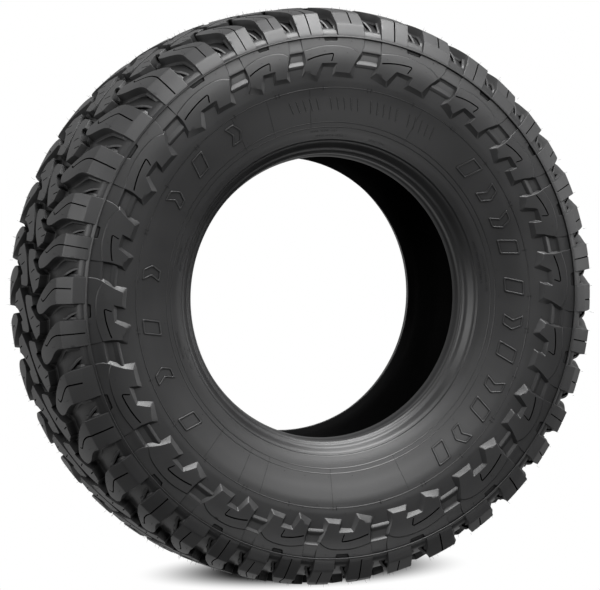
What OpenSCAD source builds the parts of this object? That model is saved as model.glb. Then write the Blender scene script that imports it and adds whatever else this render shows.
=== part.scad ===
// Mud-terrain tyre for a 17-inch rim, moulded in one piece.
// A tyre rolls when it stands on its tread, so it lies on its far side: the axis runs along Z,
// the photographed side faces up, what is at the top of the photo is at +Y and the centre is the origin.

/* [Crown] */
// Radius over the tread at its middle
tread_r = 442; // [425:1:460]
// Drop of the tread from its middle to the lug corners
crown_drop = 12; // [8:0.5:18]
// Half width of the tread at the lug corners
tread_half_w = 131; // [127:0.5:136]
// Depth of the grooves
tread_depth = 14.7; // [10:0.1:17]
// Thickness left below the grooves
crown_t = 10.3; // [8:0.1:13]

/* [Sidewall] */
// Radius of the thin mould line that runs round under the lugs
mould_line_r = 394; // [388:0.5:398]
// Half width at the mould line
shoulder_half_w = 151.5; // [148:0.5:154]
// Half width of the bare casing at its widest
section_half_w = 153.5; // [151:0.5:158]
// Height of the raised pads over the casing
pad_h = 4.2; // [2:0.1:6]
// Thickness of the sidewall at its widest
side_t = 8.6; // [7:0.1:11]
// Height of the thin rings on the sidewall
ring_h = 1; // [0.5:0.1:1.6]

/* [Bead] */
// Radius of the seat that grips the rim
seat_r = 218.3; // [216:0.1:221]
// Length of the straight part of the seat
seat_len = 10; // [7:0.5:12]
// Radius at the toe, the inner lip of the bead
toe_r = 213.4; // [211:0.1:215]
// Distance of the toe from the middle of the tyre
toe_w = 91.4; // [86:0.2:96]
// Thickness of the sidewall just above the bead
bead_t = 25; // [20:0.5:28]

/* [Tread pattern] */
// Angle at which the first lug starts, seen from the photographed side
first_lug = 189.6; // [180:0.1:200]
// Distance from the middle of the tread to the inner tips of the shoulder lugs
lug_tip_w = 52; // [48:0.5:56]
// How far each half of the tread is turned against the other, in lug steps
half_shift = 0.54; // [0.4:0.02:0.7]

/* [Hidden] */
$fn = 180;
rubber = [0.16, 0.16, 0.165];

// Lug steps in degrees. Short, middle and long ones follow each other unevenly, which keeps the tread quiet.
// A full-height lug and a chamfered one take turns, so two steps make one pad of the sidewall.
steps = [9.0, 9.2, 7.8, 9.4, 10.4, 10.5, 10.7, 9.0, 7.5, 7.4, 9.0, 10.2, 10.1, 10.7,
         8.6, 9.1, 7.5, 7.4, 7.6, 7.8, 8.6, 9.3, 8.5, 9.2, 7.7, 8.6, 10.5, 10.1,
         10.5, 9.1, 9.0, 7.7, 7.5, 7.4, 7.6, 8.8, 9.3, 10.3, 10.5, 11.0];
lugs = len(steps);
function sum_to(i) = i == 0 ? 0 : steps[i - 1] + sum_to(i - 1);
starts = [for (i = [0 : lugs]) first_lug - 360 * sum_to(i) / sum_to(lugs)];

// Angle at lug step t: 3.25 is a quarter of the way through the step that follows the third.
function at(t) = let (k = floor(t), i = (k % lugs + lugs) % lugs)
  starts[i] + (starts[i + 1] - starts[i]) * (t - k) - 360 * (k - i) / lugs;

// Radius over the tread, w from its middle.
function crown(w) = let (x = w / tread_half_w) tread_r - crown_drop * (0.04 * pow(x, 2) + 0.96 * pow(x, 4));

// Half width of the casing at radius r: a flat arc above the widest place and a rounder one below.
wide_r = mould_line_r - 50;
upper_arc_r = pow(mould_line_r - 2 - wide_r, 2) / (section_half_w - shoulder_half_w + 0.4) / 2;
lower_arc_r = 205;
function casing_w(r) = let (arc = r > wide_r ? upper_arc_r : lower_arc_r)
  section_half_w - arc + sqrt(arc * arc - pow(r - wide_r, 2));

// Thickness of the sidewall at radius r: it grows towards the bead.
function casing_t(r) = side_t
  + (bead_t - side_t) * pow(max(0, (wide_r - 38 - r) / (wide_r - 38 - toe_r - 27)), 1.4);

// Outlines as [lug step, distance from the middle of the tread].
past_edge = 160;
centre_block = [[-0.82, 38], [-0.69, 28], [-0.46, 12], [-0.02, -4], [0.11, -4.5], [0.14, 2], [0.12, 29],
                [-0.08, 34], [-0.11, 25], [-0.28, 41], [-0.36, 50], [-0.41, 65.5], [-0.69, 59.5]];
full_lug = [[-0.05, lug_tip_w + 3], [-0.16, lug_tip_w], [-0.24, lug_tip_w + 5], [-0.27, 64], [-0.24, 80],
            [-0.15, 94], [0, 117], [0, past_edge], [0.62, past_edge], [0.615, 129], [0.57, 119], [0.43, 102],
            [0.2, 81.5]];
chamfered_lug = [[-0.11, lug_tip_w], [-0.21, lug_tip_w + 4], [-0.26, 65], [-0.23, 80], [-0.13, 96], [0, 121],
                 [0, past_edge], [0.62, past_edge], [0.61, 128], [0.52, 110], [0.25, 82]];

// Crown and shoulder over each sort of block as [distance from the middle, radius], then back in the casing.
centre_band = [[-9, tread_r], [35.3, crown(35.3)], [72, crown(72)], [72, crown(72) - tread_depth - 5],
               [-9, tread_r - tread_depth - 6]];
under_lugs = [[143.2, mould_line_r - 7], [107.4, mould_line_r + 21.5], [46.3, tread_r - tread_depth - 6]];
full_band = concat([for (w = [46.3, 95.2, 115.6, tread_half_w]) [w, crown(w)]],
  [[tread_half_w + 12.5, mould_line_r + 18.5], [shoulder_half_w, mould_line_r + 3]], under_lugs);
chamfered_band = concat([for (w = [46.3, 95.2, tread_half_w - 8.6]) [w, crown(w)]],
  [[shoulder_half_w - 6.8, mould_line_r + 19.5], [shoulder_half_w + 0.1, mould_line_r + 3]], under_lugs);

// Outline of a pad as [lug step, distance below the mould line]: two legs with a notch between, and a pocket
// under the second groove.
pad_outline = [[0, -1], [-0.02, 31], [-0.14, 56.5], [0.36, 69], [0.53, 43.4], [0.91, 43], [0.84, 61],
               [1.4, 62.8], [1.44, 42.6], [1.59, 22.5], [1.64, -1],
               [1.0, -1], [0.97, 6.5], [0.66, 6.5], [0.63, -1]];

// Face of the pads, which slopes down at the ends of their legs, then back inside the casing.
function over_casing(below, h) = [casing_w(mould_line_r - below) + h, mould_line_r - below];
pad_foot_w = shoulder_half_w - 2.9;
pad_band = [[shoulder_half_w + 0.9, mould_line_r + 2], over_casing(14.6, pad_h * 0.85),
            over_casing(37.6, pad_h), over_casing(52, pad_h), over_casing(67.6, 0.7), over_casing(71, 0.5),
            [pad_foot_w, mould_line_r - 72], [pad_foot_w, mould_line_r + 2]];

// Radii of the thin rings on the sidewall, from the widest place down.
rings = [317.2, 305.6, 265.6, 258.2];

module turned(profile) rotate_extrude() polygon([for (p = profile) [p[1], p[0]]]);

// A band turned through 26 degrees about lug step t, for cutting one block out of it.
module band(profile, t, far) rotate_extrude(angle = 26, start = round(at(t)) - 13)
  polygon([for (p = profile) [p[1], far ? -p[0] : p[0]]]);

// The far half of the tread is the near half turned half round about the line of sight through a block.
function step_at(k, t, far) = far ? k - half_shift - t : k + t;

// A tread block or lug: its outline raised square to the crown and cut to the band's rounded top and foot.
module block(k, outline, profile, foot_r, far) {
  t0 = step_at(k, 0, far);
  a = at(t0);
  intersection() {
    rotate([0, 0, a]) rotate([0, 90, 0]) translate([0, 0, foot_r]) linear_extrude(tread_r + 12 - foot_r)
      polygon([for (p = outline) [far ? p[1] : -p[1], tread_r * sin(at(step_at(k, p[0], far)) - a)]]);
    band(profile, t0, far);
  }
}

// A pad of the sidewall: its outline raised along the axis and cut to the band's face.
module pad(k, far) intersection() {
  translate([0, 0, far ? -165 : 145]) linear_extrude(20)
    polygon([for (p = pad_outline) let (a = at(step_at(k, p[0], far)), r = mould_line_r - p[1])
      [r * cos(a), r * sin(a)]]);
  band(pad_band, step_at(k, 0.9, far), far);
}

// The casing: groove floors, shoulders, sidewalls and beads outside, the air chamber inside.
module casing() {
  floor_line = [for (w = [0, 73.4, 103.6, 124.5]) [w, crown(w) - tread_depth - (w > 110 ? 1.5 : 0)]];
  mould_line = [[shoulder_half_w - 6.5, mould_line_r + 11.5], [shoulder_half_w - 0.5, mould_line_r + 3.4],
                [shoulder_half_w + 1.5, mould_line_r + 1.5], [shoulder_half_w + 1.5, mould_line_r - 0.5],
                [shoulder_half_w, mould_line_r - 2]];
  ringed = [for (r = rings) each [[casing_w(r + 1.6), r + 1.6], [casing_w(r) + ring_h, r + 0.7],
                                  [casing_w(r) + ring_h, r - 0.7], [casing_w(r - 1.6), r - 1.6]]];
  side = concat([for (r = [mould_line_r - 19.8, wide_r + 8.2, wide_r - 9.6]) [casing_w(r), r]],
                [for (p = ringed) if (p[1] > 290) p], [[casing_w(290), 290], [casing_w(276.5), 276.5]],
                [for (p = ringed) if (p[1] < 275) p]);
  heel_w = toe_w + 12.1 + seat_len;
  bead = [[heel_w + 17, seat_r + 24], [heel_w + 15.5, seat_r + 21.7], [heel_w + 13.5, seat_r + 18],
          [heel_w + 8.5, seat_r + 13.2], [heel_w + 4.6, seat_r + 9.6], [heel_w + 2.4, seat_r + 3.2],
          [heel_w, seat_r], [heel_w - seat_len, seat_r], [toe_w + 6.6, toe_r + 1.2], [toe_w, toe_r]];
  chamber_side = concat([[toe_w + 2.6, toe_r + 13]],
                        [for (r = [240, 257, 277, 302, 326, wide_r]) [casing_w(r) - casing_t(r), r]]);
  chamber_w = section_half_w - side_t;
  chamber_h = tread_r - tread_depth - crown_t - wide_r;
  chamber_crown = [for (a = [14 : 15.2 : 90])
    [chamber_w * pow(cos(a), 2 / 3), wide_r + chamber_h * pow(sin(a), 2 / 3)]];
  half = concat(floor_line, mould_line, side, bead, chamber_side, chamber_crown);
  other_half = [for (i = [len(half) - 1 : -1 : 0]) if (half[i][0] > 0.01) [-half[i][0], half[i][1]]];
  turned(concat(half, other_half));
}

module tyre() color(rubber) {
  casing();
  for (far = [false, true], k = [0 : 2 : lugs - 1]) {
    block(k, centre_block, centre_band, tread_r - 23, far);
    block(k + 1, centre_block, centre_band, tread_r - 23, far);
    block(k, full_lug, full_band, mould_line_r - 20, far);
    block(k + 1, chamfered_lug, chamfered_band, mould_line_r - 20, far);
    pad(k, far);
  }
}

tyre();
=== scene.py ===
"""Looks of the mud-terrain tyre: finely modelled rubber on the CAD frame, a white studio and the photo's camera."""
import logging
from dataclasses import dataclass, field
from enum import Enum

import bpy
import numpy as np
from mathutils import Matrix, Vector
from mathutils.geometry import delaunay_2d_cdt


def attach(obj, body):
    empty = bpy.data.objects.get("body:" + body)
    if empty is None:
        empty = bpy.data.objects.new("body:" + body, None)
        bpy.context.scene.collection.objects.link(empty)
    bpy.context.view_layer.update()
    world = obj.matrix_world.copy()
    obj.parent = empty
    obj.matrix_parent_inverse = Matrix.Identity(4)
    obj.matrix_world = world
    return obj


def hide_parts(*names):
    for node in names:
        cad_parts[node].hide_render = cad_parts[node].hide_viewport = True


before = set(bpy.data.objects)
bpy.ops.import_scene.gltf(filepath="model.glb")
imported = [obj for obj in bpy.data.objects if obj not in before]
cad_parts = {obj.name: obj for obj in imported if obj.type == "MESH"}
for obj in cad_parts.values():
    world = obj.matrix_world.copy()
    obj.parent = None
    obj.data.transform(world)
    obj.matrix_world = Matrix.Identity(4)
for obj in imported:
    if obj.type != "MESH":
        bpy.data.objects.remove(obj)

log = logging.getLogger("tyre")

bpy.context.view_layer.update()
MM = 0.001
STEPS = np.array([
    9.0, 9.2, 7.8, 9.4, 10.4, 10.5, 10.7, 9.0, 7.5, 7.4, 9.0, 10.2, 10.1, 10.7, 8.6, 9.1, 7.5, 7.4, 7.6, 7.8,
    8.6, 9.3, 8.5, 9.2, 7.7, 8.6, 10.5, 10.1, 10.5, 9.1, 9.0, 7.7, 7.5, 7.4, 7.6, 8.8, 9.3, 10.3, 10.5, 11.0])
LUGS = len(STEPS)
STARTS = 189.6 - 360 * np.concatenate([[0], np.cumsum(STEPS)]) / STEPS.sum()
HALF_SHIFT = 0.54
TREAD_R = 442.0
STEP_MM = 2 * np.pi * TREAD_R / LUGS
FLOOR_Z = -0.15769
HAIR_LIMIT = 0.4418
SIDE_LIMIT = 0.1576


class Side(Enum):
    """The two halves of the tyre. The near one is the photographed one, and faces up."""

    NEAR = "near"
    FAR = "far"


def angle_at(t: np.ndarray) -> np.ndarray:
    """Angle round the axis at lug step t, in degrees.

    Args:
        t: Lug steps, any real numbers.

    Returns:
        Angles, 0 to the right and 90 at the top.
    """
    laps = np.floor(t / LUGS)
    return np.interp(t - laps * LUGS, np.arange(LUGS + 1), STARTS) - 360 * laps


def crown(w: np.ndarray) -> np.ndarray:
    """Radius over the tread.

    Args:
        w: Distance from the middle of the tread in millimetres.

    Returns:
        Radii in millimetres.
    """
    return TREAD_R - 0.238 * (np.abs(w) / 100) ** 2 - 3.942 * (np.abs(w) / 100) ** 4


def rounded(points: np.ndarray, reach: np.ndarray, steps: int = 4, closed: bool = True) -> np.ndarray:
    """Rounds the corners of a line with short curves.

    Args:
        points: (n, k) array. The first two columns give the line; any others follow along.
        reach: How far from each corner its curve starts.
        steps: Stretches in each curve.
        closed: Whether the line runs back to its first corner.

    Returns:
        The rounded line as an (m, k) array.
    """
    n, out = len(points), []
    for i, p in enumerate(points):
        if reach[i] == 0 or (not closed and i in (0, n - 1)):
            out.append(p)
            continue
        ends = []
        for q in (points[i - 1], points[(i + 1) % n]):
            gap = np.hypot(*(q - p)[:2])
            ends.append(p + (q - p) * min(reach[i], gap * 0.49) / gap)
        for f in np.linspace(0, 1, steps + 1):
            out.append((1 - f) ** 2 * ends[0] + 2 * f * (1 - f) * p + f * f * ends[1])
    return np.array(out)


def resampled(line: np.ndarray, spacing: float, levels: tuple = (), closed: bool = True) -> np.ndarray:
    """Adds points to a line so that none are further apart than spacing, and where it crosses a level.

    Args:
        line: (n, k) array, as rounded() makes it.
        spacing: Greatest distance between two points.
        levels: Values of the second column that get a point wherever the line crosses them.
        closed: Whether the line runs back to its first point.

    Returns:
        The finer line.
    """
    ends = np.roll(line, -1, 0) if closed else line[1:]
    out = []
    for p, q in zip(line, ends):
        gap = np.hypot(*(q - p)[:2])
        if gap < 1e-6:
            continue
        f = list(np.arange(max(1, int(np.ceil(gap / spacing)))) / max(1, int(np.ceil(gap / spacing))))
        if abs(q[1] - p[1]) > 1e-9:
            cross = (np.asarray(levels, float) - p[1]) / (q[1] - p[1])
            f = sorted(f + [c for c in cross if 1e-6 < c < 1 - 1e-6])
        kept = [f[0]]
        for c in f[1:]:
            if (c - kept[-1]) * gap > 0.25:
                kept.append(c)
        out += [p + (q - p) * c for c in kept]
    if not closed:
        out.append(line[-1])
    return np.array(out)


def area(line: np.ndarray) -> float:
    """Signed area inside a closed line.

    Args:
        line: Points (a, b).

    Returns:
        The area, positive when the line runs anticlockwise.
    """
    a, b = line.T
    return 0.5 * float(np.sum(a * np.roll(b, -1) - np.roll(a, -1) * b))


def inset(line: np.ndarray, distance: float) -> np.ndarray:
    """Moves an anticlockwise line inwards.

    Args:
        line: Points (a, b).
        distance: How far. Negative is outwards.

    Returns:
        The moved line, with as many points.
    """
    before, after = line - np.roll(line, 1, 0), np.roll(line, -1, 0) - line
    normals = []
    for d in (before, after):
        d = d / np.maximum(np.hypot(*d.T), 1e-9)[:, None]
        normals.append(np.stack([-d[:, 1], d[:, 0]], 1))
    both = normals[0] + normals[1]
    scale = 2 / np.maximum((both ** 2).sum(1), 1.2)
    return line + both * (scale * distance)[:, None]


def inside(points: np.ndarray, line: np.ndarray) -> np.ndarray:
    """Tells which points lie inside a closed line.

    Args:
        points: (n, 2) array.
        line: (m, 2) array.

    Returns:
        n booleans.
    """
    a, b = line, np.roll(line, -1, 0)
    x, y = points[:, :1], points[:, 1:]
    span = (a[:, 1] > y) != (b[:, 1] > y)
    rise = np.where(b[:, 1] == a[:, 1], 1e-12, b[:, 1] - a[:, 1])
    return ((span & (x < (b[:, 0] - a[:, 0]) * (y - a[:, 1]) / rise + a[:, 0])).sum(1) % 2).astype(bool)


def clear_of(points: np.ndarray, line: np.ndarray, gap: float) -> np.ndarray:
    """Tells which points keep a distance from a line's points.

    Args:
        points: (n, 2) array.
        line: (m, 2) array.
        gap: The distance.

    Returns:
        n booleans.
    """
    return ((points[:, None] - line[None]) ** 2).sum(2).min(1) > gap * gap


@dataclass
class Surface:
    """A profile line turned round the axis. Places on it are a lug step and the distance s along the line."""

    points: list
    w: np.ndarray = field(init=False)
    r: np.ndarray = field(init=False)
    s: np.ndarray = field(init=False)
    nw: np.ndarray = field(init=False)
    nr: np.ndarray = field(init=False)

    def __post_init__(self) -> None:
        """Rounds the line and works out distances and outward directions along it."""
        points = np.array([p[:2] for p in self.points], float)
        line = rounded(points, [p[2] if len(p) > 2 else 0 for p in self.points], 2, closed=False)
        self.w, self.r = line.T
        d = np.diff(line, axis=0)
        length = np.hypot(*d.T)
        self.s = np.concatenate([[0], np.cumsum(length)])
        normal = np.stack([-d[:, 1], d[:, 0]], 1) / length[:, None]
        both = np.concatenate([normal[:1], normal[:-1] + normal[1:], normal[-1:]])
        both /= np.hypot(*both.T)[:, None]
        self.nw, self.nr = both.T

    def bends(self) -> tuple:
        """Distances at which the line turns by more than a few degrees."""
        turn = np.hypot(np.diff(self.nw), np.diff(self.nr))
        return tuple(self.s[1:-1][(turn[:-1] + turn[1:]) > 0.2])

    def outline(self, corners: list, spacing: float = 2.8, closed: bool = True) -> np.ndarray:
        """Draws a line on the surface.

        Args:
            corners: (lug step, radius or half width, reach of the corner's curve), with the lug step and radius or
                half width of the foot of the wall below it as well where the wall leans. Values over 200 are radii.
            spacing: Greatest distance between two points.
            closed: Whether the line closes.

        Returns:
            (n, 4) array of the line and its foot, all in millimetres along and across.
        """
        def flat(u: float, v: float) -> list:
            return [u * STEP_MM, float(self.s_at_r(v) if v > 200 else self.s_at_w(v))]
        pts = np.array([flat(*c[:2]) + flat(*(c[3:5] if len(c) > 3 else c[:2])) for c in corners])
        return resampled(rounded(pts, [c[2] for c in corners], closed=closed), spacing, self.bends(), closed)

    def s_at_w(self, w: np.ndarray) -> np.ndarray:
        """Distance along the line at half width w, which has to grow along it."""
        return np.interp(w, self.w, self.s)

    def s_at_r(self, r: np.ndarray) -> np.ndarray:
        """Distance along the line at radius r, which has to shrink along it."""
        return np.interp(-np.asarray(r, float), -self.r, self.s)

    def place(self, angle: np.ndarray, s: np.ndarray, h: np.ndarray, side: Side) -> np.ndarray:
        """Points in the row frame.

        Args:
            angle: Angles round the axis in degrees.
            s: Distances along the line, in millimetres.
            h: Heights over the surface, in millimetres.
            side: Which half of the tyre.

        Returns:
            (n, 3) array in metres.
        """
        w = np.interp(s, self.s, self.w) + h * np.interp(s, self.s, self.nw)
        r = np.interp(s, self.s, self.r) + h * np.interp(s, self.s, self.nr)
        a = np.radians(angle)
        return np.stack([r * np.cos(a), r * np.sin(a), w if side is Side.NEAR else -w], -1) * MM


@dataclass
class Builder:
    """Gathers parts of one mesh and makes the object."""

    verts: list = field(default_factory=list)
    faces: list = field(default_factory=list)
    index: list = field(default_factory=list)
    count: int = 0

    def add(self, verts: np.ndarray, faces: list, index: list = ()) -> None:
        """Adds vertices and the faces that use them.

        Args:
            verts: (n, 3) array.
            faces: Arrays of corner numbers, (m, 3) or (m, 4), counted from this call's first vertex.
            index: The material of each of these arrays, 0 where it is left out.
        """
        self.verts.append(verts)
        self.faces += [np.asarray(f) + self.count for f in faces]
        self.index += [np.full(len(f), index[i] if len(index) else 0) for i, f in enumerate(faces)]
        self.count += len(verts)

    def make(self, name: str, *materials: bpy.types.Material, sharp: float = 18.0) -> bpy.types.Object:
        """Makes the piece, on the tyre's body and in its material slot.

        Args:
            name: The piece's name.
            materials: Its material, and that of its slots if it has any.
            sharp: Edges sharper than this angle in degrees are shaded sharp.

        Returns:
            The new object.
        """
        verts = np.concatenate(self.verts)
        loops = np.concatenate([f.reshape(-1) for f in self.faces])
        sizes = np.concatenate([np.full(len(f), f.shape[1]) for f in self.faces])
        mesh = bpy.data.meshes.new(name)
        mesh.vertices.add(len(verts))
        mesh.vertices.foreach_set("co", verts.reshape(-1))
        mesh.loops.add(len(loops))
        mesh.loops.foreach_set("vertex_index", loops)
        mesh.polygons.add(len(sizes))
        mesh.polygons.foreach_set("loop_start", np.concatenate([[0], np.cumsum(sizes)[:-1]]))
        mesh.polygons.foreach_set("material_index", np.concatenate(self.index))
        mesh.update(calc_edges=True)
        mesh.validate()
        mesh.shade_smooth()
        mesh.set_sharp_from_angle(angle=np.radians(sharp))
        for material in materials:
            mesh.materials.append(material)
        obj = bpy.data.objects.new(name, mesh)
        bpy.context.scene.collection.objects.link(obj)
        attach(obj, "root")
        log.info("%s: %d triangles", name, int((sizes - 2).sum()))
        return obj


@dataclass(frozen=True)
class Level:
    """One line of a wall: how far inside the outline it runs, how high over the surface, and its share of the foot."""

    inset: float
    height: float
    foot: float = 0.0


@dataclass
class Relief:
    """A raised shape with a flat or curved top, cut slots and walls, repeated round the tyre."""

    surface: Surface
    outline: np.ndarray
    walls: list
    slots: list = field(default_factory=list)
    holes: list = field(default_factory=list)
    slot_width: float = 1.1
    slot_depth: float = 6.5
    spacing: float = 5.0
    thinning: tuple = ((0, 1), (400, 1))

    def template(self) -> tuple[np.ndarray, list, list]:
        """Builds the shape once, as if every lug step had the mean length.

        Returns:
            (n, 3) array of distance along and across the surface and height, the face arrays and their materials.
        """
        lines = []
        for line, out in [(self.outline, 1)] + [(h, -1) for h in self.holes]:
            line = line if area(line[:, :2]) > 0 else line[::-1]
            lines.append([(inset(line[:, :2] * (1 - lv.foot) + line[:, 2:] * lv.foot, out * lv.inset), lv.height)
                          for lv in self.walls])
        for slot in self.slots:
            lines.append([(self.slot_line(slot[:, :2], wide), h)
                          for wide, h in ((0.3, self.walls[0].height), (0, -0.35), (0, -self.slot_depth))])
        cap, tris = self.fill([line[0][0] for line in lines])
        parts, faces = [np.column_stack([cap, np.full(len(cap), self.walls[0].height)])], [tris[:, ::-1]]
        count, start = len(cap), 0
        for i, line in enumerate(lines):
            n = len(line[0][0])
            ring = np.arange(start, start + n)
            start += n
            for pts, height in line[1:]:
                parts.append(np.column_stack([pts, np.full(n, height)]))
                nxt = np.arange(count, count + n)
                count += n
                quad = np.stack([ring, nxt, np.roll(nxt, -1), np.roll(ring, -1)], 1)
                faces.append(quad[:, ::-1] if i == 0 else quad)
                ring = nxt
            if i > len(self.holes):
                a, b = ring[:n // 2], ring[n // 2:][::-1]
                faces.append(np.stack([b[:-1], b[1:], a[1:], a[:-1]], 1))
        # Slot faces take the second material, the painted shade of the sipes.
        cut = sum(3 for _ in self.slots)
        return np.concatenate(parts), faces, [0] * (len(faces) - cut) + [1] * cut

    def slot_line(self, centre: np.ndarray, widen: float) -> np.ndarray:
        """Outline of a slot along a centre line, both sides with as many points.

        Args:
            centre: Points of the centre line.
            widen: Added to half the slot's width.

        Returns:
            The closed outline.
        """
        d = np.gradient(centre, axis=0)
        d /= np.hypot(*d.T)[:, None]
        side = np.stack([-d[:, 1], d[:, 0]], 1) * (self.slot_width / 2 + widen)
        line = np.concatenate([centre + side, (centre - side)[::-1]])
        return line if area(line) > 0 else np.concatenate([centre - side, (centre + side)[::-1]])

    def fill(self, lines: list) -> tuple[np.ndarray, np.ndarray]:
        """Triangulates the area between the first line and the others.

        Args:
            lines: Closed lines, the outer one first.

        Returns:
            Points, those of the lines first and in order, and triangles.
        """
        lo, hi = lines[0].min(0), lines[0].max(0)
        g = self.spacing
        x, y = np.meshgrid(np.arange(lo[0], hi[0], g), np.arange(lo[1], hi[1], g * 0.87))
        x = x + (np.arange(len(x)) % 2)[:, None] * g / 2
        grid = [np.stack([x.ravel(), y.ravel()], 1)]
        for row in self.surface.bends():
            if len(grid[0]):
                grid[0] = grid[0][np.abs(grid[0][:, 1] - row) > 1.6]
            grid.append(np.stack([np.arange(lo[0], hi[0], 1.8), np.full_like(np.arange(lo[0], hi[0], 1.8), row)], 1))
        pts = np.concatenate(grid)
        keep = inside(pts, lines[0]) & clear_of(pts, lines[0], 1.0)
        for line in lines[1:]:
            keep &= ~inside(pts, line) & clear_of(pts, line, 0.9)
        fixed = np.concatenate(lines)
        verts = np.concatenate([fixed, pts[keep]])
        edges, start = [], 0
        for line in lines:
            n = len(line)
            edges += [(start + i, start + (i + 1) % n) for i in range(n)]
            start += n
        out, _, tris, source, _, _ = delaunay_2d_cdt([Vector(p) for p in verts], edges, [], 0, 1e-6)
        if len(out) != len(verts):
            raise ValueError(f"an outline and its slots cross: {len(out)} points of {len(verts)}")
        tris = np.array([s[0] for s in source])[np.array(tris)]
        middle = verts[tris].mean(1)
        keep = inside(middle, lines[0])
        for line in lines[1:]:
            keep &= ~inside(middle, line)
        return verts, tris[keep]

    def build(self, builder: Builder, starts: np.ndarray, side: Side) -> None:
        """Repeats the shape.

        Args:
            builder: What takes the parts.
            starts: Lug steps at which the copies start.
            side: Which half of the tyre.
        """
        local, faces, index = self.template()
        u, s, h = local[:, 0] / STEP_MM, local[:, 1], local[:, 2]
        h = np.where(h < -1, h * np.interp(s, *np.array(self.thinning).T), h)
        for k in starts:
            t = k + u if side is Side.NEAR else k - HALF_SHIFT - u
            builder.add(self.surface.place(angle_at(t), s, h, side), faces, index)

    def build_at(self, builder: Builder, angles: list, side: Side) -> None:
        """Puts copies at given angles, drawn from their own middle and true to size at their own radius.

        Args:
            builder: What takes the parts.
            angles: Angles in degrees on the near side.
            side: Which half of the tyre.
        """
        local, faces, index = self.template()
        radius = np.interp(local[:, 1], self.surface.s, self.surface.r)
        turn = np.degrees(local[:, 0] / radius)
        for a in angles:
            angle = a - turn if side is Side.NEAR else 180 - a + turn
            builder.add(self.surface.place(angle, local[:, 1], local[:, 2], side), faces, index)


CROWN = [(w, crown(w)) for w in (-12, 0, 12, 24, 36, 48, 60, 72, 84, 94, 103, 111)]
FULL_LUG = Surface(CROWN + [(118, crown(118)), (125, crown(125)), (131, 430, 1.3), (143.5, 412.3, 5), (151.4, 397.4, 1),
                            (152, 393)])
CHAMFERED_LUG = Surface(CROWN + [(117, crown(117)), (122.4, crown(122.4), 1.3), (144.7, 413.5, 1.3), (151.4, 397.4, 1),
                                 (152, 393)])
CENTRE = Surface(CROWN)
PAD = Surface([(151.2, 398), (152.4, 393.5), (153.6, 386, 3), (155.3, 377, 3), (156.9, 366, 6), (157.55, 355, 6),
               (157.55, 345, 6), (157.2, 335, 6), (156.3, 326, 3), (155.2, 320)])
CASING_SIDE = Surface([(152.6, 395), (153.2, 375, 6), (153.6, 360, 6), (153.5, 338, 5), (152.9, 326, 3), (149.9, 306.5, 5),
                       (145.4, 290, 6), (142.3, 280, 5), (134, 249.5, 4), (130.4, 241.5)])
LUG_THINNING = ((0, 1), (117, 1), (133, 0.95), (150, 0.55), (165, 0.33), (180, 0.25))
BLOCK_WALL = [Level(0.5, 0), Level(0.15, -0.15), Level(0, -0.45), Level(-0.7, -8), Level(-1.3, -11.8), Level(-2.4, -13.9),
              Level(-4.6, -15), Level(-5, -18)]
LUG_WALL = [Level(0.5, 0), Level(0.15, -0.15), Level(0, -0.45), Level(-0.8, -8), Level(-1.6, -11.8), Level(-2.8, -13.9),
            Level(-4.6, -15), Level(-5, -18)]
PAD_WALL = [Level(0.7, 0), Level(0.2, -0.2), Level(0, -0.7, 0.06), Level(0, -3.6, 0.9), Level(-0.6, -4.3, 1),
            Level(-1.5, -5.8, 1)]

CENTRE_BLOCK = [(-0.82, 38, 2), (-0.69, 28, 3), (-0.46, 12.5, 8), (-0.24, 3, 6), (-0.02, -4, 3), (0.11, -4.5, 2),
                (0.14, 2, 3), (0.12, 29, 2), (-0.08, 34, 2), (-0.11, 25, 1.5), (-0.15, 27, 1.5), (-0.28, 41, 6), (-0.36, 50, 5),
                (-0.41, 65.5, 2), (-0.69, 59.5, 2), (-0.73, 51, 3)]
CENTRE_SIPES = [[(-0.38, 20.5, 0), (-0.33, 30, 6), (-0.31, 36.5, 0)], [(-0.54, 46, 0), (-0.485, 62, 0)]]
LUG_A = [(-0.05, 54.5, 3), (-0.16, 51.5, 3), (-0.25, 56.5, 3), (-0.29, 64, 6), (-0.26, 79, 12), (-0.18, 94, 12),
         (-0.06, 107, 12), (0, 118, 10), (0.005, 128, 4), (0.005, 394, 0), (0.62, 394, 0), (0.61, 129, 2),
         (0.56, 120, 8), (0.417, 102, 12), (0.2, 82, 12), (0.03, 63, 12)]
SIPE_A = [(0.09, 78, 0), (0.061, 84, 3), (0.117, 90, 6), (0.183, 98, 8), (0.239, 105, 8), (0.289, 115, 8),
          (0.306, 124, 4), (0.306, 398, 0)]
LUG_B = [(-0.09, 53, 2), (-0.196, 56.5, 3), (-0.25, 64, 5), (-0.245, 72, 6), (-0.225, 81, 8), (-0.13, 96, 12),
         (-0.045, 110, 10), (-0.02, 122, 6), (0, 150, 2), (0, 394, 0), (0.62, 394, 0), (0.61, 150, 2), (0.576, 130, 4),
         (0.52, 113, 8), (0.457, 104, 10), (0.25, 82, 12), (0.03, 61, 12)]
SIPE_B = [(0.085, 75, 0), (0.026, 81, 2), (0.065, 90, 6), (0.141, 98, 8), (0.228, 108, 8), (0.304, 117, 6),
          (0.322, 123, 3), (0.326, 143, 0)]
PLATE = [(0.03, 374.5, 2, 0.0, 379), (0.04, 362, 8, 0, 362), (-0.03, 344, 1.5, -0.15, 335), (0.29, 335, 2, 0.36, 324.5),
         (0.5, 354, 1.5, 0.55, 349), (0.94, 353.5, 1.5, 0.85, 347), (0.88, 340.5, 1.5, 0.8, 333), (1.28, 338.5, 1.5, 1.42, 330.5),
         (1.38, 353, 3, 1.45, 351), (1.53, 369.5, 2, 1.61, 371), (1.33, 377.3, 12, 1.33, 382), (0.99, 380.2, 15, 0.99, 385),
         (0.58, 380.4, 15, 0.58, 385), (0.3, 378, 15, 0.3, 382.5)]
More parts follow.
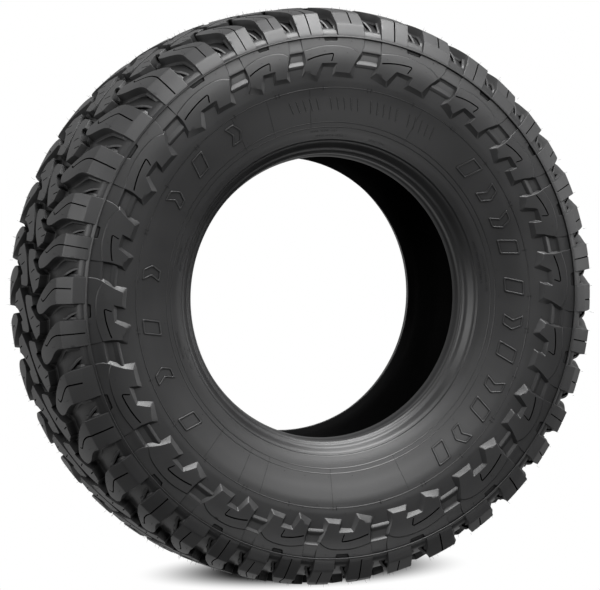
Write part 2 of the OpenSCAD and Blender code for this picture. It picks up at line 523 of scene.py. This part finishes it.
STRIP = [(0.02, 395.5, 0, 0, 395.5), (0.02, 371, 2, 0, 371), (0.3, 374, 15), (0.58, 376, 15), (0.99, 376, 15), (1.33, 373, 12),
         (1.52, 366.5, 2, 1.6, 366.5), (1.61, 380, 6, 1.65, 380), (1.62, 395.5, 0, 1.65, 395.5), (0.99, 395.5, 0, 1.01, 395.5),
         (0.97, 387.5, 2, 1.0, 388.3), (0.66, 387.5, 2, 0.63, 388.3), (0.62, 395.5, 0, 0.6, 395.5)]
STRIP_WALL = [Level(0.7, -1.1), Level(0.2, -1.3), Level(0, -1.8, 0.1), Level(0, -4.5, 0.9), Level(-1, -7, 1)]
PAD_HOOK = [(0.085, 360.7, 0), (0.3, 364, 20), (0.58, 367, 20), (0.855, 368.3, 4), (0.775, 357, 0)]
SCOOP_SURFACE = Surface([(150.4, 393), (151.2, 386, 4), (153.7, 377, 3), (154.5, 373.4, 1), (152.6, 371.2, 1), (151.4, 366, 3),
                         (153, 359, 3), (156.1, 353.8, 1.2), (155.6, 351.6, 1), (152.6, 347.2, 1)])
SCOOP = [(1.55, 392.5, 0), (1.56, 371, 2), (1.4, 348.2, 1), (1.95, 347.8, 1), (2.0, 364, 4), (2.03, 376, 4), (2.04, 392.5, 0)]
RIB_SURFACE = Surface([(108, 426), (122, 424.8, 4), (131.5, 421, 4), (142.5, 406.5, 4), (150, 396, 1)])
RIB = [(0.575, 122, 2), (0.64, 131, 5), (0.75, 137.5, 6), (0.8, 144, 4), (0.79, 149.6, 0)]
SINK = [Level(0.2, 0), Level(0, -0.3), Level(0, -3)]
RIB_WALL = [Level(0.9, 0), Level(0.35, -0.3), Level(0, -1), Level(-0.8, -9)]


def rubber(name: str, colour: tuple, roughness: float, grain: float) -> bpy.types.Material:
    """Makes a rubber, with painted shade: ambient occlusion darkens its colour and lowers its gloss in hollows.

    Args:
        name: The material's name.
        colour: Its linear colour.
        roughness: Mean roughness.
        grain: Strength of the fine grain.

    Returns:
        The material.
    """
    mat = bpy.data.materials.new(name)
    mat.use_nodes = True
    nodes, links = mat.node_tree.nodes, mat.node_tree.links
    bsdf = nodes["Principled BSDF"]
    place = nodes.new("ShaderNodeTexCoord")
    cloud = nodes.new("ShaderNodeTexNoise")
    cloud.inputs["Scale"].default_value = 14
    cloud.inputs["Detail"].default_value = 6
    links.new(place.outputs["Object"], cloud.inputs["Vector"])
    mix = nodes.new("ShaderNodeMix")
    mix.data_type = "RGBA"
    mix.inputs["A"].default_value = (*[c * 0.8 for c in colour], 1)
    mix.inputs["B"].default_value = (*[c * 1.25 for c in colour], 1)
    links.new(cloud.outputs["Fac"], mix.inputs["Factor"])
    # Painted shade: ambient occlusion darkens the colour towards near black and lowers the gloss in grooves, creases
    # and hollows.
    shade_ao = nodes.new("ShaderNodeAmbientOcclusion")
    shade_ao.samples = 8
    shade_ao.inputs["Distance"].default_value = 0.02
    painted_shade_gloss = nodes.new("ShaderNodeMapRange")
    painted_shade_gloss.inputs["From Min"].default_value = 0.35
    painted_shade_gloss.inputs["From Max"].default_value = 0.95
    painted_shade_gloss.inputs["To Max"].default_value = 0.5
    links.new(shade_ao.outputs["AO"], painted_shade_gloss.inputs["Value"])
    links.new(painted_shade_gloss.outputs["Result"], bsdf.inputs["Specular IOR Level"])
    painted_cavity_shade = nodes.new("ShaderNodeMix")
    painted_cavity_shade.data_type = "RGBA"
    painted_cavity_shade.inputs["A"].default_value = (0.002, 0.002, 0.002, 1)
    links.new(shade_ao.outputs["AO"], painted_cavity_shade.inputs["Factor"])
    links.new(mix.outputs["Result"], painted_cavity_shade.inputs["B"])
    links.new(painted_cavity_shade.outputs["Result"], bsdf.inputs["Base Color"])
    rough = nodes.new("ShaderNodeMapRange")
    rough.inputs["To Min"].default_value = roughness - 0.07
    rough.inputs["To Max"].default_value = roughness + 0.07
    links.new(cloud.outputs["Fac"], rough.inputs["Value"])
    links.new(rough.outputs["Result"], bsdf.inputs["Roughness"])
    fine = nodes.new("ShaderNodeTexNoise")
    fine.inputs["Scale"].default_value = 900
    fine.inputs["Detail"].default_value = 2
    links.new(place.outputs["Object"], fine.inputs["Vector"])
    bump = nodes.new("ShaderNodeBump")
    bump.inputs["Strength"].default_value = grain
    bump.inputs["Distance"].default_value = 0.0002
    links.new(fine.outputs["Fac"], bump.inputs["Height"])
    links.new(bump.outputs["Normal"], bsdf.inputs["Normal"])
    return mat


def casing(material: bpy.types.Material) -> None:
    """Makes the casing: groove floors, sidewalls with their rings, beads and the air chamber, turned in one.

    Args:
        material: Its rubber.
    """
    def ring(r: float, wide: float, high: float) -> list:
        outer, inner = np.interp([-r - wide, wide - r], [-326, -306.5, -290, -280, -249.5], [152.9, 149.9, 145.4, 142.3, 134])
        return [(outer, r + wide), (outer + high, r + wide * 0.4), (inner + high, r - wide * 0.4), (inner, r - wide)]
    half = [(0, 427.3), (24, 427.2), (48, 426.8), (73, 425.9), (95, 423.5), (110, 420), (124, 415.5), (136, 410, 4), (145, 405, 4),
            (149.6, 397.3, 3), (149.6, 390, 3), (150.2, 382, 4), (151.4, 373, 4), (153, 361, 5), (153.6, 350, 5), (153.5, 338, 5),
            (152.9, 326, 3), *ring(317.2, 0.7, 0.5), (149.9, 306.5, 5), (145.4, 290, 6), (142.3, 280, 5), *ring(265.6, 0.6, 0.35),
            *ring(258.2, 0.6, 0.35), (134, 249.5, 4), (130.4, 241.5, 1.5), (129.6, 239.6, 1), (127.2, 238.2, 1),
            (126.6, 236.6, 1), (125.2, 234.3, 2), (121.8, 231.2, 3), (117.8, 227.6, 2.5), (116.4, 223.6, 2), (113.8, 221.2, 1.2),
            (112.8, 219.2, 1), (109.6, 218.3, 2), (103.5, 218.3, 2), (98.4, 215.6, 2), (93.4, 214.2, 1), (91.9, 213.8, 0.7),
            (91.4, 215, 0.8), (92.2, 219, 2), (94, 226.4, 4), (98, 234, 6), (108, 247, 6), (121, 265, 10), (133, 285, 10), (141, 308, 10),
            (144.6, 332, 10), (144.8, 352, 10), (142.4, 372, 10), (134, 392, 10), (120, 405, 10), (100, 412.4, 10), (60, 416.3, 10), (0, 417)]
    line = rounded(np.array([p[:2] for p in half], float), [p[2] if len(p) > 2 else 0 for p in half], 4, closed=False)
    line = resampled(line, 9.0, (), closed=False)
    mirror = (line * [-1, 1])[1:-1][::-1]
    loop = np.concatenate([line, mirror])
    verts, faces = revolve(loop)
    build = Builder()
    build.add(verts, [faces])
    obj = build.make("casing", material, sharp=20)
    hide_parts("tyre")


def band(path: np.ndarray, width: float) -> np.ndarray:
    """Outline of a strip along a line.

    Args:
        path: (n, 4) array, as Surface.outline() makes it with closed=False.
        width: The strip's width.

    Returns:
        The closed outline.
    """
    d = np.gradient(path[:, :2], axis=0)
    d /= np.hypot(*d.T)[:, None]
    side = np.tile(np.stack([-d[:, 1], d[:, 0]], 1) * width / 2, 2)
    return np.concatenate([path + side, (path - side)[::-1]])


def tread(material: bpy.types.Material, dark: bpy.types.Material) -> None:
    """Makes the centre blocks, the shoulder lugs and the ribs in the grooves between them, for both halves.

    Args:
        material: Their rubber.
        dark: The painted shade inside the sipes, a flat near-black without gloss.
    """
    every, even, odd = np.arange(LUGS), np.arange(0, LUGS, 2), np.arange(1, LUGS, 2)
    sorts = {
        "centre_blocks": (Relief(CENTRE, CENTRE.outline(CENTRE_BLOCK), BLOCK_WALL,
                                 [CENTRE.outline(s, closed=False) for s in CENTRE_SIPES], spacing=6), every),
        "full_lugs": (Relief(FULL_LUG, FULL_LUG.outline(LUG_A), LUG_WALL, [FULL_LUG.outline(SIPE_A, closed=False)],
                             slot_width=1.5, thinning=LUG_THINNING), even),
        "chamfered_lugs": (Relief(CHAMFERED_LUG, CHAMFERED_LUG.outline(LUG_B), LUG_WALL,
                                  [CHAMFERED_LUG.outline(SIPE_B, closed=False)], slot_width=1.4, thinning=LUG_THINNING), odd),
        "groove_ribs": (Relief(RIB_SURFACE, band(RIB_SURFACE.outline(RIB, closed=False), 4.2), RIB_WALL, spacing=3), every),
    }
    for name, (relief, starts) in sorts.items():
        for side in Side:
            build = Builder()
            relief.build(build, starts, side)
            build.make(f"{side.value}_{name}", material, dark)


def pads(material: bpy.types.Material, dark: bpy.types.Material) -> None:
    """Makes the raised pads of both sidewalls, the strips above them and the scooped bars between them.

    Args:
        material: Their rubber.
        dark: The painted shade inside the sipes, a flat near-black without gloss.
    """
    reliefs = [
        Relief(PAD, PAD.outline(PLATE), PAD_WALL, [PAD.outline(PAD_HOOK, closed=False)], slot_width=1.5, slot_depth=3.4),
        Relief(PAD, PAD.outline(STRIP), STRIP_WALL, slot_width=1.5, slot_depth=3.4),
        Relief(SCOOP_SURFACE, SCOOP_SURFACE.outline(SCOOP), SINK, spacing=3.5),
    ]
    for side in Side:
        build = Builder()
        for relief in reliefs:
            relief.build(build, np.arange(0, LUGS, 2), side)
        build.make(f"{side.value}_pads", material, dark)


def revolve(points: list, turns: int = 180) -> tuple[np.ndarray, np.ndarray]:
    """Turns a closed line round the axis.

    Args:
        points: (half width, radius) all the way round the section.
        turns: Stretches in the circle.

    Returns:
        Vertices and faces.
    """
    w, r = np.array(points, float).T
    a = np.radians(np.arange(turns) * 360 / turns)
    verts = np.stack([np.outer(np.cos(a), r), np.outer(np.sin(a), r), np.broadcast_to(w, (turns, len(w)))], -1)
    i, j = np.arange(turns)[:, None] * len(w), np.arange(len(w))
    up, nxt = (np.arange(turns)[:, None] + 1) % turns * len(w), (j + 1) % len(w)
    faces = np.stack([i + j, up + j, up + nxt, i + nxt], -1).reshape(-1, 4)
    return verts.reshape(-1, 3) * MM, faces


def mould_lines(material: bpy.types.Material) -> None:
    """Makes the thin ridge that runs round under the lugs of each side.

    Args:
        material: Its rubber.
    """
    section = [(147, 392.6), (152.6, 392.8), (153.4, 393.3), (153.5, 394), (153.1, 394.5), (152.2, 394.9), (151, 396.4), (147, 399)]
    build = Builder()
    for mirror in (1, -1):
        verts, faces = revolve([(w * mirror, r) for w, r in section][::mirror])
        build.add(verts, [faces])
    build.make("mould_lines", material, sharp=50)


@dataclass(frozen=True)
class Mark:
    """A plain raised outline in the band that carries lettering on real tyres."""

    width: float
    lean: float
    low: float
    high: float
    notch: float = 0.0

    def lines(self) -> tuple[np.ndarray, np.ndarray]:
        """Draws its outer and inner line, in millimetres along the circle and over it."""
        half, tall = self.width / 2, self.high - self.low
        pts = [(-half - self.lean, self.low), (half - self.lean, self.low), (half + self.notch, self.low + tall / 2),
               (half + self.lean, self.high), (-half + self.lean, self.high), (-half + self.notch, self.low + tall / 2)]
        flat = np.array([(x, float(CASING_SIDE.s_at_r(r))) for x, r in pts])
        flat = flat if area(flat) > 0 else flat[::-1]
        outer = resampled(rounded(flat, [2.5] * 6), 3)
        inner = resampled(rounded(inset(flat, 2.8), [1.5] * 6), 3)
        return outer, inner


@dataclass(frozen=True)
class Strokes:
    """A row of straight raised strokes across the sidewall."""

    radius: float
    length: float
    width: float
    height: float
    angles: list
    lean: float = 0.0

    def box(self) -> np.ndarray:
        """Draws the outline of one stroke, in millimetres along the circle and over it."""
        rows = np.linspace(self.radius + self.length / 2, self.radius - self.length / 2, max(2, int(self.length / 6)))
        s, x = CASING_SIDE.s_at_r(rows), np.linspace(-self.lean / 2, self.lean / 2, len(rows))
        left, right = np.stack([x - self.width / 2, s], 1), np.stack([x + self.width / 2, s], 1)
        return np.concatenate([left, right[::-1]])


def fives(pitch: float, *groups: tuple) -> list:
    """Sets strokes out in fives.

    Args:
        pitch: Angle between two strokes in degrees.
        groups: The number of strokes and the angle of the first, for each group.

    Returns:
        Their angles.
    """
    return [start - (i + i // 5) * pitch for n, start in groups for i in range(n)]


def marks(material: bpy.types.Material) -> None:
    """Makes the plain slanted outlines, bars, ticks and fine radial lines on both sidewalls.

    Args:
        material: Their rubber.
    """
    wall = [Level(0.5, 1.1), Level(0.15, 0.85), Level(0, -0.6)]
    wide, arrow = Mark(23, 4, 279, 309), Mark(17, 0, 279, 309, 8)
    rows = {
        wide: (42, 15, 3, -17, -36, -54, 218, 188, 137),
        arrow: (33, 24, -7, -27, -45, 203, 173, 150, 124),
    }
    runs = [Strokes(246, 3, 1.3, 0.45, fives(0.62, (16, 96), (9, 76), (21, 20), (12, 205), (17, 170))),
            Strokes(253, 3, 1.3, 0.45, fives(0.62, (14, 98), (19, 15), (13, 200), (9, 168))),
            Strokes(293.5, 19, 2.2, 0.6, fives(2.1, (20, 104)), 5),
            Strokes(317.2, 7, 0.5, 0.6, list(np.arange(0, 360, 9) + 4 * (np.arange(40) % 3))),
            Strokes(288, 58, 0.35, 0.3, [-91, -113, -68, 98, 111, 64, 228, 240, 122])]
    for side in Side:
        build = Builder()
        for mark, angles in rows.items():
            outer, inner = mark.lines()
            Relief(CASING_SIDE, np.tile(outer, 2), wall, holes=[np.tile(inner, 2)], spacing=50).build_at(build, angles, side)
        for run in runs:
            top = [Level(run.width * 0.2, run.height), Level(0, -0.4)]
            Relief(CASING_SIDE, np.tile(run.box(), 2), top, spacing=50).build_at(build, run.angles, side)
        build.make(f"{side.value}_marks", material, sharp=50)


def hairs(material: bpy.types.Material) -> None:
    """Makes the vent hairs on the tread's edges and the short nubs on the sidewalls.

    Args:
        material: Their rubber.
    """
    rng = np.random.default_rng(7)
    tread_spots = [(0.1, 1), (-0.02, -2), (0.1, 27), (-0.4, 63), (-0.67, 57), (-0.78, 36), (-0.2, 54), (-0.25, 68), (0.02, 124),
                   (0.6, 127), (0.3, 95), (0.05, 110), (0.45, 108)]
    pad_spots = [(0.02, 345), (0.25, 337), (0.47, 352), (0.92, 351), (0.9, 341), (1.26, 340), (1.35, 352), (1.5, 368), (0.6, 372),
                 (0.2, 369), (1.2, 370), (0.5, 390), (1.3, 388)]
    wall_spots = [(u, r) for u in (0.25, 1.2) for r in (318, 271, 232)] + [(0.7, 326), (1.8, 338), (1.7, 313)]
    sorts = [(CENTRE, CENTRE.s_at_w, tread_spots[:6], 1, (2, 5.5), 0.25),
             (FULL_LUG, FULL_LUG.s_at_w, tread_spots[6:], 1, (2, 5.5), 0.25),
             (PAD, PAD.s_at_r, pad_spots, 2, (0.8, 1.8), 0.42), (CASING_SIDE, CASING_SIDE.s_at_r, wall_spots, 2, (0.6, 1.5), 0.42)]
    build = Builder()
    for surface, at, spots, step, (low, high), thick in sorts:
        for side in Side:
            for k in range(0, LUGS, step):
                for u, v in spots:
                    t = k + u if side is Side.NEAR else k - HALF_SHIFT - u
                    length = rng.uniform(low, high)
                    heights = np.array([-0.5, length / 2, length])
                    line = surface.place(np.full(3, angle_at(t)), np.full(3, float(at(v))), heights, side)
                    line += np.outer([0, 0.25, 1], rng.normal(0, length * 0.16, 3) * MM)
                    out = np.maximum(np.abs(line[:, :2]).max(1), np.abs(line[:, 2]) - SIDE_LIMIT + HAIR_LIMIT)
                    if out[1] < HAIR_LIMIT:
                        add_hair(build, line[:2] if out[2] > HAIR_LIMIT else line, thick)
    build.make("vent_hairs", material, sharp=90)


def add_hair(build: Builder, line: np.ndarray, thick: float) -> None:
    """Adds one thin three-sided hair.

    Args:
        build: What takes it.
        line: (n, 3) array of points from its root to its tip, in metres.
        thick: Radius at the root in millimetres.
    """
    along = line[-1] - line[0]
    across = np.cross(along, [0.3, 0.5, 0.8])
    across /= np.linalg.norm(across)
    other = np.cross(along / np.linalg.norm(along), across)
    a = np.radians([0, 120, 240])
    ring = np.outer(np.cos(a), across) + np.outer(np.sin(a), other)
    n = len(line)
    verts = np.concatenate([p + ring * thick * MM * (1 - 0.6 * i / (n - 1)) for i, p in enumerate(line)])
    i, j = np.arange(n - 1)[:, None] * 3, np.arange(3)
    sides = np.stack([i + j, i + (j + 1) % 3, i + 3 + (j + 1) % 3, i + 3 + j], -1).reshape(-1, 4)
    build.add(verts, [sides, np.array([[2, 1, 0], [3 * n - 3, 3 * n - 2, 3 * n - 1]])])


def axes_across(back: np.ndarray) -> tuple[np.ndarray, np.ndarray]:
    """Finds the directions to the right and up for something that looks along -back, with +Y above.

    Args:
        back: Unit vector from what is looked at.

    Returns:
        Right and up, unit vectors.
    """
    right = np.cross([0, 1, 0], back)
    right /= np.linalg.norm(right)
    return right, np.cross(back, right)


def camera() -> None:
    """Puts the camera where the photo was taken from, seen from the tyre: high over it, with +Y at the top."""
    scene = bpy.context.scene
    aside, ahead, roll, distance = np.radians(-20.317), np.radians(1.662), np.radians(0.057), 5.58985
    back = np.array([np.sin(aside) * np.cos(ahead), np.sin(ahead), np.cos(aside) * np.cos(ahead)])
    right, up = axes_across(back)
    right, up = right * np.cos(roll) + up * np.sin(roll), up * np.cos(roll) - right * np.sin(roll)
    data = bpy.data.cameras.new("photo")
    data.sensor_fit = "HORIZONTAL"
    data.sensor_width = 36
    data.lens = 3614.567 * 36 / 600
    data.shift_x = -1.852 / 600
    data.shift_y = 0.432 / 600
    data.clip_end = 100
    obj = bpy.data.objects.new("photo", data)
    scene.collection.objects.link(obj)
    matrix = np.eye(4)
    matrix[:3, 0], matrix[:3, 1], matrix[:3, 2], matrix[:3, 3] = right, up, back, back * distance
    obj.matrix_world = Matrix(matrix.tolist())
    scene.camera = obj


@dataclass(frozen=True)
class Softbox:
    """A rectangular lamp that shines at the tyre."""

    name: str
    place: tuple
    size: tuple
    power: float

    def make(self) -> None:
        """Adds the lamp."""
        data = bpy.data.lights.new(self.name, "AREA")
        data.shape = "RECTANGLE"
        data.size, data.size_y = self.size
        data.energy = self.power
        obj = bpy.data.objects.new(self.name, data)
        back = np.array(self.place) / np.linalg.norm(self.place)
        matrix = np.eye(4)
        matrix[:3, :3] = np.stack([*axes_across(back), back], 1)
        matrix[:3, 3] = self.place
        obj.matrix_world = Matrix(matrix.tolist())
        obj.visible_camera = False
        bpy.context.scene.collection.objects.link(obj)


LIGHTS = [
    Softbox("low canopy", (1.3, 1.9, 3.9), (3.2, 1.0), 78),
    Softbox("canopy", (0.7, 3.0, 2.2), (3.0, 1.8), 175),
    Softbox("top", (0.9, 3.4, 0.9), (3.0, 1.4), 190),
    Softbox("left", (-3.6, 0.9, 1.4), (2.6, 2.6), 90),
    Softbox("right", (3.8, 0.6, 0.9), (1.8, 1.8), 30),
    Softbox("foot", (1.2, -2.2, 3.1), (2.4, 1.4), 27),
]


def floor_material() -> bpy.types.Material:
    """Makes the floor: seen directly it is white with a painted shadow at the tyre's foot, an elliptical patch of
    near-black lit floor that the lamps' real shadow of the tyre darkens further; otherwise it glows faintly.
    """
    mat = bpy.data.materials.new("floor")
    mat.use_nodes = True
    nodes, links = mat.node_tree.nodes, mat.node_tree.links
    lit = nodes["Principled BSDF"]
    # Painted shadow, partly real: inside the ellipse the floor is a near-black diffuse that reads dark even where lit,
    # and the lamps' own shadow of the tyre falls on it too.
    lit.inputs["Base Color"].default_value = (0.06, 0.06, 0.06, 1)
    lit.inputs["Roughness"].default_value = 1
    lit.inputs["Specular IOR Level"].default_value = 0
    path = nodes.new("ShaderNodeLightPath")
    place = nodes.new("ShaderNodeTexCoord")
    # The ellipse that shapes the painted shadow patch under the tyre.
    foot = nodes.new("ShaderNodeMapping")
    foot.vector_type = "TEXTURE"
    foot.inputs["Location"].default_value = (0.064, -0.442, 0)
    foot.inputs["Scale"].default_value = (0.25, 0.029, 1)
    links.new(place.outputs["Object"], foot.inputs["Vector"])
    far = nodes.new("ShaderNodeVectorMath")
    far.operation = "LENGTH"
    links.new(foot.outputs["Vector"], far.inputs[0])
    fade = nodes.new("ShaderNodeMapRange")
    fade.interpolation_type = "SMOOTHSTEP"
    fade.inputs["From Min"].default_value = 0.5
    fade.inputs["From Max"].default_value = 1.15
    links.new(far.outputs["Value"], fade.inputs["Value"])
    share = nodes.new("ShaderNodeMix")
    share.inputs["A"].default_value = 1
    links.new(path.outputs["Is Camera Ray"], share.inputs["Factor"])
    links.new(fade.outputs["Result"], share.inputs["B"])
    glow = nodes.new("ShaderNodeMapRange")
    glow.inputs["To Min"].default_value = 0.5
    glow.inputs["To Max"].default_value = 1.0
    links.new(path.outputs["Is Camera Ray"], glow.inputs["Value"])
    white = nodes.new("ShaderNodeEmission")
    links.new(glow.outputs["Result"], white.inputs["Strength"])
    mix = nodes.new("ShaderNodeMixShader")
    links.new(share.outputs["Result"], mix.inputs["Fac"])
    links.new(lit.outputs["BSDF"], mix.inputs[1])
    links.new(white.outputs["Emission"], mix.inputs[2])
    links.new(mix.outputs["Shader"], nodes["Material Output"].inputs["Surface"])
    return mat


def studio() -> None:
    """Makes the white floor, the white surroundings and the lights."""
    scene = bpy.context.scene
    mesh = bpy.data.meshes.new("floor")
    e = 30.0
    mesh.from_pydata([(-e, -e, 0), (e, -e, 0), (e, e, 0), (-e, e, 0)], [], [(0, 1, 2, 3)])
    mesh.materials.append(floor_material())
    floor = bpy.data.objects.new("floor", mesh)
    floor.location.z = FLOOR_Z
    scene.collection.objects.link(floor)
    world = bpy.data.worlds.new("white")
    world.use_nodes = True
    nodes, links = world.node_tree.nodes, world.node_tree.links
    back = nodes["Background"]
    path = nodes.new("ShaderNodeLightPath")
    strength = nodes.new("ShaderNodeMapRange")
    strength.inputs["To Min"].default_value = 0.035
    strength.inputs["To Max"].default_value = 1.0
    links.new(path.outputs["Is Camera Ray"], strength.inputs["Value"])
    links.new(strength.outputs["Result"], back.inputs["Strength"])
    back.inputs["Color"].default_value = (1, 1, 1, 1)
    scene.world = world
    for light in LIGHTS:
        light.make()


def main() -> None:
    """Builds the scene."""
    logging.basicConfig(level=logging.INFO)
    bpy.context.scene.view_settings.view_transform = "Standard"
    black = rubber("tread rubber", (0.019, 0.019, 0.0195), 0.47, 0.25)
    side = rubber("sidewall rubber", (0.011, 0.011, 0.0114), 0.4, 0.15)
    casing(side)
    # Painted shade: a flat near-black without gloss stands for the shade inside the sipes.
    dark = bpy.data.materials.new("sipe shade")
    dark.use_nodes = True
    dark.node_tree.nodes["Principled BSDF"].inputs["Base Color"].default_value = (0.002, 0.002, 0.002, 1)
    dark.node_tree.nodes["Principled BSDF"].inputs["Specular IOR Level"].default_value = 0
    tread(black, dark)
    pads(side, dark)
    mould_lines(side)
    marks(side)
    hairs(black)
    camera()
    studio()


if __name__ == "__main__":
    main()
